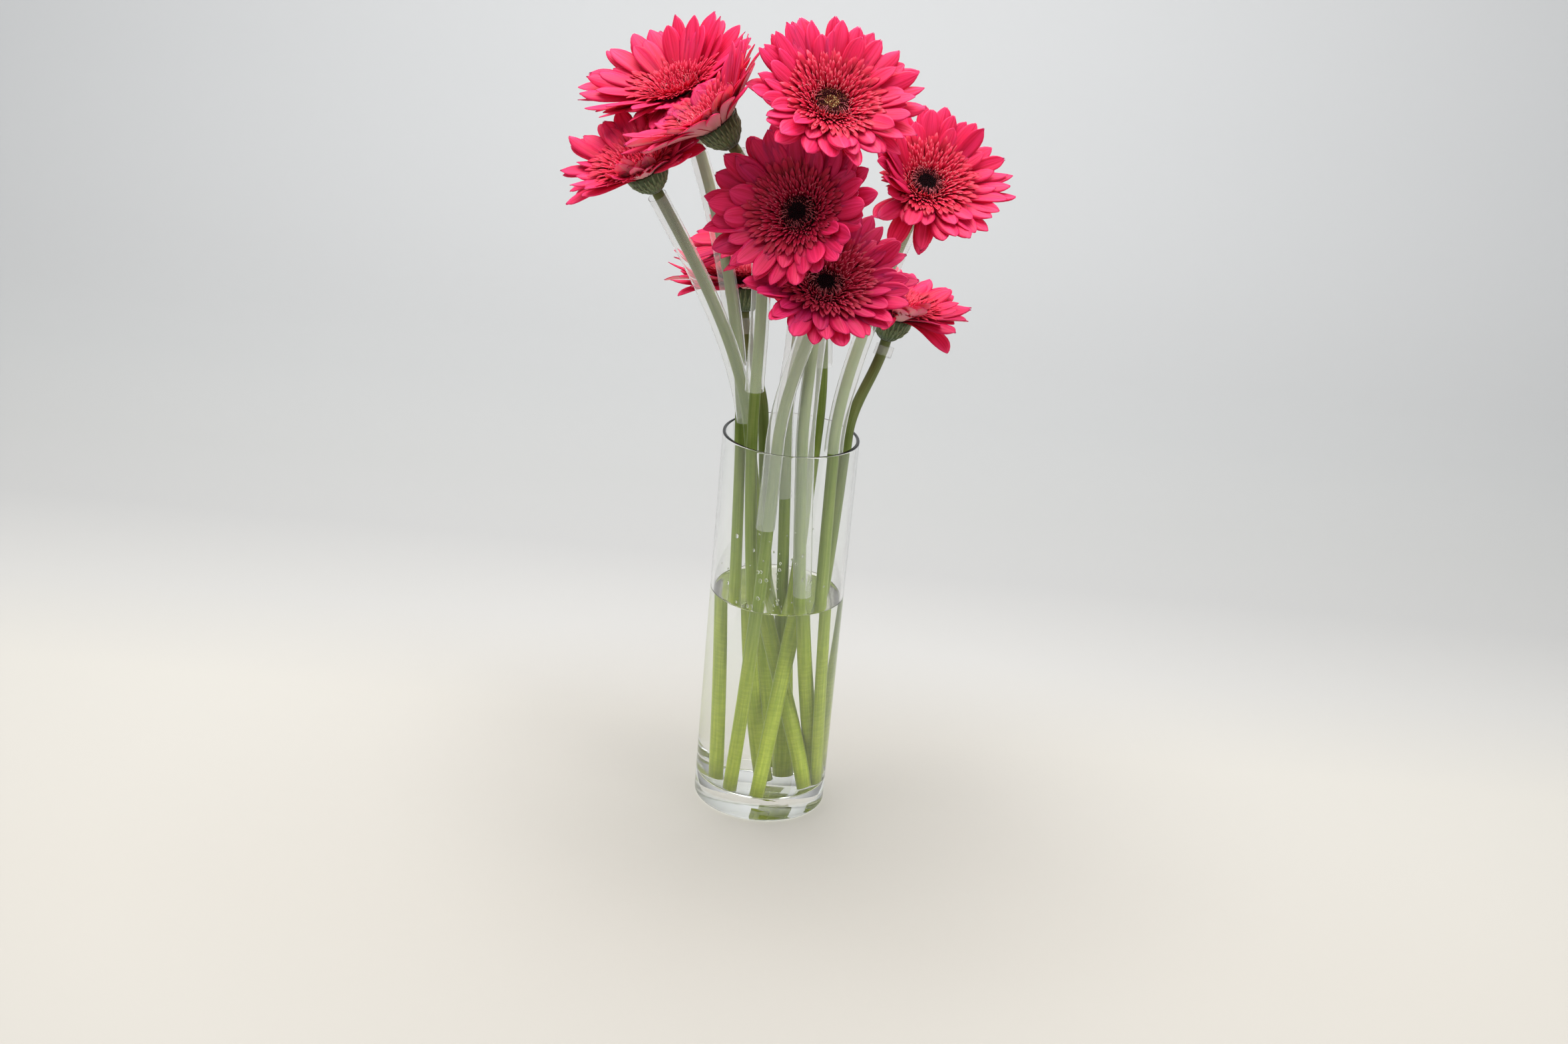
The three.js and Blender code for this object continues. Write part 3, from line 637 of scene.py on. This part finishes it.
def sweep(bm, points, radii, sides, capped):
    """A tube along points. Its UV map runs round it and along it."""
    uv = bm.loops.layers.uv.new("strap")
    side = Vector((1, 0, 0))
    travelled = 0
    total = sum((b - a).length for a, b in zip(points, points[1:]))
    for k, point in enumerate(points):
        heading = (points[min(k + 1, len(points) - 1)] - points[max(k - 1, 0)]).normalized()
        side = (side - heading * side.dot(heading)).normalized()
        turn = Matrix((side, heading.cross(side), heading)).transposed().to_4x4()
        place = Matrix.Translation(point) @ turn @ Matrix.Diagonal((radii[k], radii[k], 1, 1))
        if k == 0:
            ring = bmesh.ops.create_circle(bm, segments=sides, radius=1, cap_ends=capped,
                                           matrix=place)["verts"]
            edges = list(dict.fromkeys(e for v in ring for e in v.link_edges))
        else:
            made = bmesh.ops.extrude_edge_only(bm, edges=edges)["geom"]
            ring = [v for v in made if isinstance(v, bmesh.types.BMVert)]
            edges = [e for e in made if isinstance(e, bmesh.types.BMEdge)
                     and all(v in ring for v in e.verts)]
            faces = [f for f in made if isinstance(f, bmesh.types.BMFace)]
            bmesh.ops.transform(bm, matrix=place @ previous.inverted(), verts=ring)
            step = (point - points[k - 1]).length
            inverse = place.inverted()
            for face in faces:
                for loop in face.loops:
                    upper = loop.vert in ring
                    spot = (inverse if upper else previous.inverted()) @ loop.vert.co
                    around = abs(math.atan2(spot.y, spot.x)) / math.pi
                    loop[uv].uv = (around, (travelled + (step if upper else 0)) / total)
            travelled += step
        previous = place
    if capped:
        bmesh.ops.edgeloop_fill(bm, edges=edges)
    bmesh.ops.recalc_face_normals(bm, faces=bm.faces)


# ---------------------------------------------------------------- straps: petals, florets, bracts

class Straps:
    """Many thin straps in one bmesh, each a small grid bent to its place."""

    def __init__(self):
        self.bm = bmesh.new()
        self.uv = self.bm.loops.layers.uv.new("strap")
        self.tone = self.bm.verts.layers.float.new("tone")

    def add(self, place, tone, columns, rows, crowd=1, material=0):
        """place(u, v) gives the point of the strap at u across, -1 to 1, and v along, 0 to 1."""
        made = bmesh.ops.create_grid(self.bm, x_segments=columns, y_segments=rows, size=1)["verts"]
        spots = {vert: (vert.co.x, 1 - (0.5 - vert.co.y / 2) ** crowd) for vert in made}
        for face in {face for vert in made for face in vert.link_faces}:
            face.material_index = material
            for loop in face.loops:
                u, v = spots[loop.vert]
                loop[self.uv].uv = ((u + 1) / 2, v)
        for vert, (u, v) in spots.items():
            vert.co = place(u, v)
            vert[self.tone] = tone


def interpolated(table, x):
    """The value at x in a table of (x, value), eased from row to row."""
    for (x0, y0), (x1, y1) in zip(table, table[1:]):
        if x <= x1:
            share = (x - x0) / (x1 - x0)
            return y0 + (y1 - y0) * share * share * (3 - 2 * share)
    return table[-1][1]


# Where a petal is widest, as a share of its length
WIDEST = 0.7


def petal_half(v, point):
    """Half the petal's width at v along it, as a share of the widest. point sharpens its tip."""
    if v < WIDEST:
        return 0.3 + 0.7 * math.sin(math.pi / 2 * v / WIDEST) ** 1.2
    return max(0.03, 1 - ((v - WIDEST) / (1 - WIDEST)) ** 2) ** (0.5 * point)


def petal_place(frame_of, turn, root, start, length, width, slope, curl, roll, sway, crease, point,
                notch):
    """The surface of one ray petal, as place(u, v). Its spine bends up by slope, then by curl."""
    outwards = Vector((math.cos(turn), math.sin(turn), 0))
    sideways = Vector((math.sin(turn), -math.cos(turn), 0))
    up = Vector((0, 0, 1))
    steps = 24
    spine = [outwards * start + up * root]
    headings = []
    for k in range(steps):
        along = (k + 0.5) / steps
        angle = slope + curl * along
        heading = outwards * math.cos(angle) + up * math.sin(angle)
        headings.append(heading)
        spine.append(spine[-1] + heading * length / steps)
    headings.append(headings[-1])

    def place(u, v):
        teeth = notch * (1 - math.cos(3 * math.pi * u)) / 2 * max(0, (v - 0.85) / 0.15)
        along = (v - teeth) * steps
        k = min(steps - 1, int(along))
        centre = spine[k].lerp(spine[k + 1], along - k)
        normal = sideways.cross(headings[k]).normalized()
        lean = roll * v
        across = sideways * math.cos(lean) + normal * math.sin(lean)
        face = normal * math.cos(lean) - sideways * math.sin(lean)
        half = width / 2 * petal_half(v, point)
        groove = PETAL_GROOVE * math.cos(3 * math.pi * u) * math.sin(math.pi * min(0.9, v + 0.05))
        height = crease * u * u * half * 0.35 + groove
        return frame_of @ (centre + across * (half * u + sway * v * v) + face * height)

    return place


# Layers of petals, outermost first: count, reach, lift and curl in degrees, width
PETAL_LAYERS = [(21, 1.0, -2, -3, 1.0), (20, 0.95, 1, -4, 1.0), (18, 0.77, 3, -5, 0.9)]


def bed_slope(flower):
    """How steeply the petals rise from the eye to the rim."""
    return math.atan2(flower["cup"] - ROOT_HEIGHTS[1], flower["radius"] - PETAL_ROOT)


def bed_height(flower, radius):
    """Where the florets root, just above the petals."""
    slope = bed_slope(flower) + math.radians(PETAL_FLARE / 2)
    return ROOT_HEIGHTS[1] + (radius - PETAL_ROOT) * math.tan(slope) + FLORET_RISE


def random_petals(flower, chance):
    """The shape and tone of each petal of a bloom, layer by layer."""
    slope = bed_slope(flower)
    length = (flower["radius"] - PETAL_ROOT) / math.cos(slope)
    for layer, (count, reach, lift, curl, width) in enumerate(PETAL_LAYERS):
        for k in range(count):
            turn = 2 * math.pi * (k + 0.5 * layer + chance.uniform(-0.2, 0.2)) / count
            angle = math.degrees(turn) % 360
            own = [bend for at, bend in flower["bent"] if abs(at - angle) < 180 / count]
            bend = own[0] * (1 - 0.35 * layer) if own else 0
            rise = lift + PETAL_FLARE / 2 + chance.uniform(-2.5, 2.5)
            reach_here, wide_here, painted_shade_here = reach, width, flower["painted_shade"]
            for low, high, extra, curled, share, wider, darker in flower["sides"]:
                if (angle - low) % 360 <= high - low:
                    rise, bend, painted_shade_here = rise + extra, bend + curled, painted_shade_here + darker
                    reach_here, wide_here = reach * share, width * wider
            # Each petal's tone is the painted shade of its bloom and side, plus a random share
            yield dict(
                turn=turn, root=ROOT_HEIGHTS[layer], start=PETAL_ROOT,
                length=length * reach_here * chance.uniform(0.93, 1.03),
                width=PETAL_WIDTH * wide_here * chance.uniform(0.86, 1.08),
                slope=slope + math.radians(rise),
                curl=math.radians(curl - PETAL_FLARE / 2 + bend + chance.gauss(0, 8)),
                roll=math.radians(chance.gauss(0, 12)), sway=chance.gauss(0, 1.5),
                crease=chance.uniform(-0.9, 0.8), point=chance.uniform(0.9, 1.6),
                notch=chance.uniform(0, 0.025)), painted_shade_here + 0.4 * chance.random()


def tree_of(objects):
    """One search tree over the solids of several objects."""
    verts, faces = [], []
    for thing in objects:
        base = len(verts)
        verts += [vert.co.copy() for vert in thing.data.vertices]
        faces += [[base + k for k in face.vertices] for face in thing.data.polygons]
    return BVHTree.FromPolygons(verts, faces)


# What a petal may do to clear its neighbours: share of its length, curl and swing in degrees
BENDS = [(share, curl, swing) for share in (1, 0.85, 0.7)
         for curl in (0, -12, 12, -24, 24, -38, 38, -55) for swing in (0, -6, 6)]


def clear_of(place, trees):
    """Whether a coarse copy of the petal keeps clear of what the trees hold."""
    columns, rows = 4, 7
    spots = [[place(-1 + 2 * c / columns, r / rows) * MM for c in range(columns + 1)]
             for r in range(rows + 1)]
    flat = [spot for row in spots for spot in row]
    wide = columns + 1
    faces = [(r * wide + c, r * wide + c + 1, (r + 1) * wide + c + 1, (r + 1) * wide + c)
             for r in range(rows) for c in range(columns)]
    own = BVHTree.FromPolygons(flat, faces)
    for tree in trees:
        if own.overlap(tree):
            return False
        if any(tree.find_nearest(spot, PETAL_CLEARANCE * MM)[0] is not None for spot in flat):
            return False
    return True


def make_petals(number, flower, standing):
    """The ray petals. One that can't be bent clear of what stands there is left out."""
    chance = random.Random(100 + number)
    straps = Straps()
    frame_of = bloom_frame(flower)
    for shape, tone in random_petals(flower, chance):
        for share, curl, swing in BENDS:
            trial = dict(shape, length=shape["length"] * share,
                         curl=shape["curl"] + math.radians(curl),
                         turn=shape["turn"] + math.radians(swing))
            place = petal_place(frame_of, **trial)
            if clear_of(place, standing):
                straps.add(place, tone, 6, 11, crowd=1.45)
                break
    piece = finished(f"ray_petals_{number}", straps.bm, ("petal_face", "petal_back"), "petals",
                     f"petals_{number}")
    walled(piece, PETAL_WALL, back=1)
    return piece


# Rows of the frill, from the eye outwards: count, root radius, length, lift and droop in degrees,
# width, and how pale the tips are
FRILL_ROWS = [(56, 11.2, 6.5, 84, -10, 1.1, 1.0), (60, 12.4, 7.5, 78, -20, 1.35, 0.7),
              (64, 13.9, 8.5, 72, -26, 1.5, 0.4), (66, 15.6, 9, 66, -28, 1.65, 0.3),
              (68, 17.4, 9.5, 61, -30, 1.85, 0.25), (68, 19.3, 10, 56, -32, 2.1, 0.2),
              (66, 21.2, 11, 51, -32, 2.4, 0.2), (60, 23.2, 11.5, 45, -32, 2.8, 0.2),
              (38, 25, 13, 38, -28, 4.2, 0.15)]
# The rows over the eye of a bloom that is still shut
SHUT_ROWS = [(14, 2, 9, 88, 0, 1.4, 0.2), (30, 5, 9, 88, 0, 1.4, 0.25),
             (42, 8, 8.5, 88, -4, 1.4, 0.3)]


def floret_place(frame_of, turn, radius, height, length, lift, droop, width, sway):
    """A short channelled floret that leans out and droops."""
    outwards = Vector((math.cos(turn), math.sin(turn), 0))
    sideways = Vector((math.sin(turn), -math.cos(turn), 0))
    up = Vector((0, 0, 1))
    root = outwards * radius + up * height

    def place(u, v):
        angle = lift + droop * v / 2
        reach = outwards * math.cos(angle) + up * math.sin(angle)
        normal = up * math.cos(angle) - outwards * math.sin(angle)
        tip = max(0.15, 1 - (max(0, v - 0.65) / 0.35) ** 2.3)
        half = width / 2 * (0.6 + 0.4 * min(1, v / 0.6)) * tip
        channel = 0.3 * width * u * u * (1 - 0.6 * v)
        return frame_of @ (root + reach * length * v + sideways * (half * u + sway * v)
                           + normal * channel)

    return place


def lobe_place(frame_of, turn, radius, height, length, lift, curl, width):
    """A thin lobe that stands up and curls over at its tip."""
    outwards = Vector((math.cos(turn), math.sin(turn), 0))
    sideways = Vector((-math.sin(turn), math.cos(turn), 0))
    up = Vector((0, 0, 1))
    root = outwards * radius + up * height

    def place(u, v):
        angle = lift + curl * v * v
        reach = outwards * math.cos(angle) + up * math.sin(angle)
        return frame_of @ (root + reach * length * v + sideways * width / 2 * u * (1 - 0.7 * v))

    return place


def make_frill(number, flower):
    """Rows of florets round the eye, with thin lobes between them, thickest near the eye."""
    chance = random.Random(300 + number)
    straps = Straps()
    frame_of = bloom_frame(flower)
    # A bloom that stands in painted shade takes the florets darkened by it
    look = "frill_in_painted_shade" if flower["painted_shade"] else "frill"
    for count, radius, length, lift, droop, width, pale in FRILL_ROWS + SHUT_ROWS * flower["shut"]:
        hairy = 0.4 if 10 < radius < 15 else 0.08
        if flower["shut"]:
            pale, hairy = pale * 0.3, 0.06
            if 10 < radius < 16:
                length, lift, radius = length * 1.2, lift + 8, radius - 0.8
        start = chance.random()
        for k in range(count):
            turn = 2 * math.pi * (k + start + chance.uniform(-0.3, 0.3)) / count
            at = radius + chance.uniform(-0.8, 0.8)
            height = bed_height(flower, max(at, INNERMOST_ROOT))
            own = length * chance.uniform(0.84, 1.1)
            rise = math.radians(lift + chance.gauss(0, 6))
            place = floret_place(frame_of, turn, at, height, own, rise, math.radians(droop),
                                 width * chance.uniform(0.8, 1.1), chance.gauss(0, 0.7))
            straps.add(place, pale * chance.random(), 2, 4)
            if chance.random() < hairy:
                lobe = lobe_place(frame_of, turn + chance.gauss(0, 0.04), at - 0.5, height + 0.5,
                                  own * chance.uniform(0.75, 1.05), rise + 0.12,
                                  math.radians(chance.uniform(10, 60)), 0.3)
                straps.add(lobe, chance.random(), 1, 4, material=1)
    piece = finished(f"frill_florets_{number}", straps.bm, (look, "hair"), "frill",
                     f"frill_{number}")
    walled(piece, FLORET_WALL)


def make_eye(number, flower):
    """A sunk button of unopened florets, in the turns of a sunflower's disc."""
    chance = random.Random(500 + number)
    frame_of = bloom_frame(flower)
    bm = spun([(0, -2.4), (EYE_RADIUS, -2.4), (EYE_RADIUS, 0), (EYE_RADIUS * 0.75, 0.6),
               (0, -0.6)], EYE_STEPS)
    bmesh.ops.transform(bm, matrix=frame_of, verts=bm.verts)
    tone = bm.verts.layers.float.new("tone")
    for k in range(BUDS):
        share = math.sqrt((k + 0.5) / BUDS)
        radius = (EYE_RADIUS - 0.4) * share
        turn = k * BUD_TURN
        height = 0.1 + 1.6 * share * share + chance.uniform(-0.2, 0.3)
        place = frame_of @ Matrix.Translation((radius * math.cos(turn), radius * math.sin(turn),
                                               height))
        bud = bmesh.ops.create_icosphere(bm, subdivisions=1, radius=BUD_RADIUS,
                                         matrix=place @ Matrix.Diagonal((1, 1, 2.2, 1)))["verts"]
        if flower["pollen"]:
            shade = chance.uniform(0.5, 1) if share < 0.5 else chance.uniform(0.1, 0.6)
        else:
            shade = chance.uniform(0, 0.25) if share < 0.6 else chance.uniform(0.35, 0.9)
        for vert in bud:
            tip = (frame_of.inverted() @ vert.co).z > height + 0.6
            vert[tone] = min(1, shade + (0.3 if tip and share > 0.6 else 0))
    look = "pollen_eye" if flower["pollen"] else "eye"
    finished(f"eye_florets_{number}", bm, (look,), "eye", f"eye_{number}")


# The calyx from its foot up: share of its height, radius
CUP = [(0, 4.3), (0.15, 7), (0.35, 10.6), (0.7, 14), (1, 15.2)]
# Rows of bracts, outermost first: count, from and to which share of the cup, how far they stand
# off it
BRACT_ROWS = [(22, 0, 0.62, 0.8), (24, 0.02, 0.86, 0.45), (26, 0.1, 1.16, 0.1)]


def make_calyx(number, flower):
    """The narrow overlapping bracts that hold the bloom."""
    chance = random.Random(700 + number)
    frame_of = bloom_frame(flower)
    straps = Straps()
    rise = CALYX_TOP - CALYX_FOOT
    for row, (count, low, high, spread) in enumerate(BRACT_ROWS):
        for k in range(count):
            turn = 2 * math.pi * (k + 0.5 * row + chance.uniform(-0.2, 0.2)) / count
            top = high + chance.uniform(-0.06, 0.06)
            outwards = Vector((math.cos(turn), math.sin(turn), 0))
            sideways = Vector((-math.sin(turn), math.cos(turn), 0))

            def place(u, v):
                share = low + (top - low) * v
                radius = interpolated(CUP, min(1, share)) + spread + 0.6 - 0.6 * u * u
                radius += 8 * max(0, share - 1) - 0.5 * v
                half = BRACT_WIDTH / 2 * min(1, 0.55 + share) * (1 - v ** 2.2) + 0.1
                return frame_of @ (outwards * radius + sideways * half * u
                                   + Vector((0, 0, CALYX_FOOT + rise * share)))

            straps.add(place, chance.random(), 2, 6)
    piece = finished(f"calyx_bracts_{number}", straps.bm, ("bract",), "stem", f"stem_{number}")
    walled(piece, BRACT_WALL)


def make_cup(number, flower):
    """The solid bed behind the bracts, from which the petals and florets grow."""
    profile = [(0, CALYX_FOOT - 1)] + [(radius, CALYX_FOOT + (CALYX_TOP - CALYX_FOOT) * share)
                                       for share, radius in CUP]
    bm = spun(profile + [(14.9, -5), (0, -2.6)], CUP_STEPS)
    bmesh.ops.transform(bm, matrix=bloom_frame(flower), verts=bm.verts)
    finished(f"calyx_cup_{number}", bm, ("bract",), "stem", f"stem_{number}")


def make_stem(number, flower):
    """The stem, which thins from its foot up to the vase's mouth."""
    points = stem_line(flower)
    radii = []
    for point in points:
        share = min(1, max(0, (point.z - FLOOR) / (VASE_HEIGHT - FLOOR)))
        radii.append(FOOT_RADIUS + (NECK_RADIUS - FOOT_RADIUS) * share)
    bm = bmesh.new()
    sweep(bm, points, radii, STEM_SIDES, True)
    finished(f"flower_stem_{number}", bm, ("stem",), "stem", f"stem_{number}")


def make_sleeve(number, flower):
    """An open tube of film round the stem, hanging to one side of it."""
    line = stem_line(flower)
    neck = line[-1]
    run = [point for point in line
           if point.z > flower["sleeve"] and (point - neck).length > SLEEVE_TOP_GAP]
    before = [point for point in line if point.z <= flower["sleeve"]][-1]
    share = (flower["sleeve"] - before.z) / (run[0].z - before.z)
    run.insert(0, before.lerp(run[0], share))
    lean = Vector((*flower["lean"], 0))
    slack = SLEEVE_RADIUS - SLEEVE_WALL - NECK_RADIUS - 2 * SEAT
    placed = []
    for k, point in enumerate(run):
        heading = (run[min(k + 1, len(run) - 1)] - run[max(k - 1, 0)]).normalized()
        placed.append(point + (lean - heading * lean.dot(heading)).normalized() * slack)
    placed.insert(1, placed[0].lerp(placed[1], 0.04))
    placed.insert(-1, placed[-1].lerp(placed[-2], 0.04))
    bm = bmesh.new()
    sweep(bm, placed, [SLEEVE_RADIUS] * len(placed), SLEEVE_SIDES, False)
    look = "misty_sleeve" if flower["sleeve"] < MISTY_BELOW else "sleeve"
    piece = finished(f"stem_sleeve_{number}", bm, (look,), "sleeve", f"sleeve_{number}")
    walled(piece, SLEEVE_WALL)


# ---------------------------------------------------------------- vase and water

def rounded(corners, radii):
    """A profile with its corners rounded, except its two ends."""
    steps = 7
    points = [corners[0]]
    for before, corner, after, radius in zip(corners, corners[1:], corners[2:], radii[1:]):
        here = Vector(corner)
        start = here + (Vector(before) - here).normalized() * radius
        end = here + (Vector(after) - here).normalized() * radius
        for k in range(steps + 1):
            t = k / steps
            points.append(tuple(start * (1 - t) ** 2 + here * 2 * t * (1 - t) + end * t * t))
    return points + [corners[-1]]


def make_vase():
    """The glass cylinder, from the middle of its underside round its lip to the inner floor."""
    inner = VASE_RADIUS - GLASS
    punt = [(radius, PUNT * (1 - (radius / STANDING_RING) ** 2))
            for radius in range(0, STANDING_RING, 4)]
    profile = punt + rounded([(STANDING_RING, 0), (VASE_RADIUS, 0), (VASE_RADIUS, VASE_HEIGHT),
                              (inner, VASE_HEIGHT), (inner, FLOOR), (0, FLOOR)],
                             (0, 3, 1.1, 1.1, FILLET, 0))
    finished("glass_vase", spun(profile, ROUND_STEPS), ("glass",), "glass", "vase")


def make_water():
    """Still water that wets the glass, with a rim of meniscus. It goes a hair into the glass."""
    reach = VASE_RADIUS - GLASS + WETTING
    low = FLOOR - WETTING
    foot = rounded([(0, low), (reach, low), (reach, WATER_LEVEL)], (0, FILLET, 0))[:-1]
    rim = [(reach - inwards, WATER_LEVEL + rise)
           for inwards, rise in ((0, 1.9), (0.5, 0.9), (1.5, 0.25), (3.5, 0))]
    profile = foot + rim + [(0, WATER_LEVEL)]
    finished("still_water", spun(profile, ROUND_STEPS), ("water",), "water", "water")


def make_droplets():
    """Drops of water that cling to the inside of the glass above the water."""
    chance = random.Random(9)
    bm = bmesh.new()
    wall = VASE_RADIUS - GLASS
    for k in range(DROPS):
        turn = math.radians(chance.gauss(-96, 22))
        height = WATER_LEVEL + 4 + 66 * chance.random() ** 1.6
        size = chance.choice((0.5, 0.7, 0.7, 0.95, 1.3))
        place = Matrix.Rotation(turn, 4, "Z") @ Matrix.Translation((wall - 0.25 * size, 0, height))
        stretch = Matrix.Diagonal((0.55, chance.uniform(0.8, 1.1), chance.uniform(1, 1.7), 1))
        bmesh.ops.create_icosphere(bm, subdivisions=2, radius=size, matrix=place @ stretch)
    finished("clinging_droplets", bm, ("water",), "water", "water")


# ---------------------------------------------------------------- the whole object

make_camera()
make_stage()
make_lights()
make_vase()
make_water()
make_droplets()

for number, flower in enumerate(FLOWERS, start=1):
    make_stem(number, flower)
    make_sleeve(number, flower)
    make_calyx(number, flower)
    make_cup(number, flower)
    make_frill(number, flower)
    make_eye(number, flower)

# Petals come last, each bloom bent clear of all other stems, sleeves and frills and of the blooms
# made before it.
blooms = []
for number, flower in enumerate(FLOWERS, start=1):
    others = [k for k in range(1, len(FLOWERS) + 1) if k != number]
    solids = [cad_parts[name] for name in [f"sleeve_{number}"]
              + [f"{kind}_{k}" for k in others for kind in ("stem", "sleeve", "frill")]]
    standing = [tree_of(solids)] + ([tree_of(blooms)] if blooms else [])
    blooms.append(make_petals(number, flower, standing))
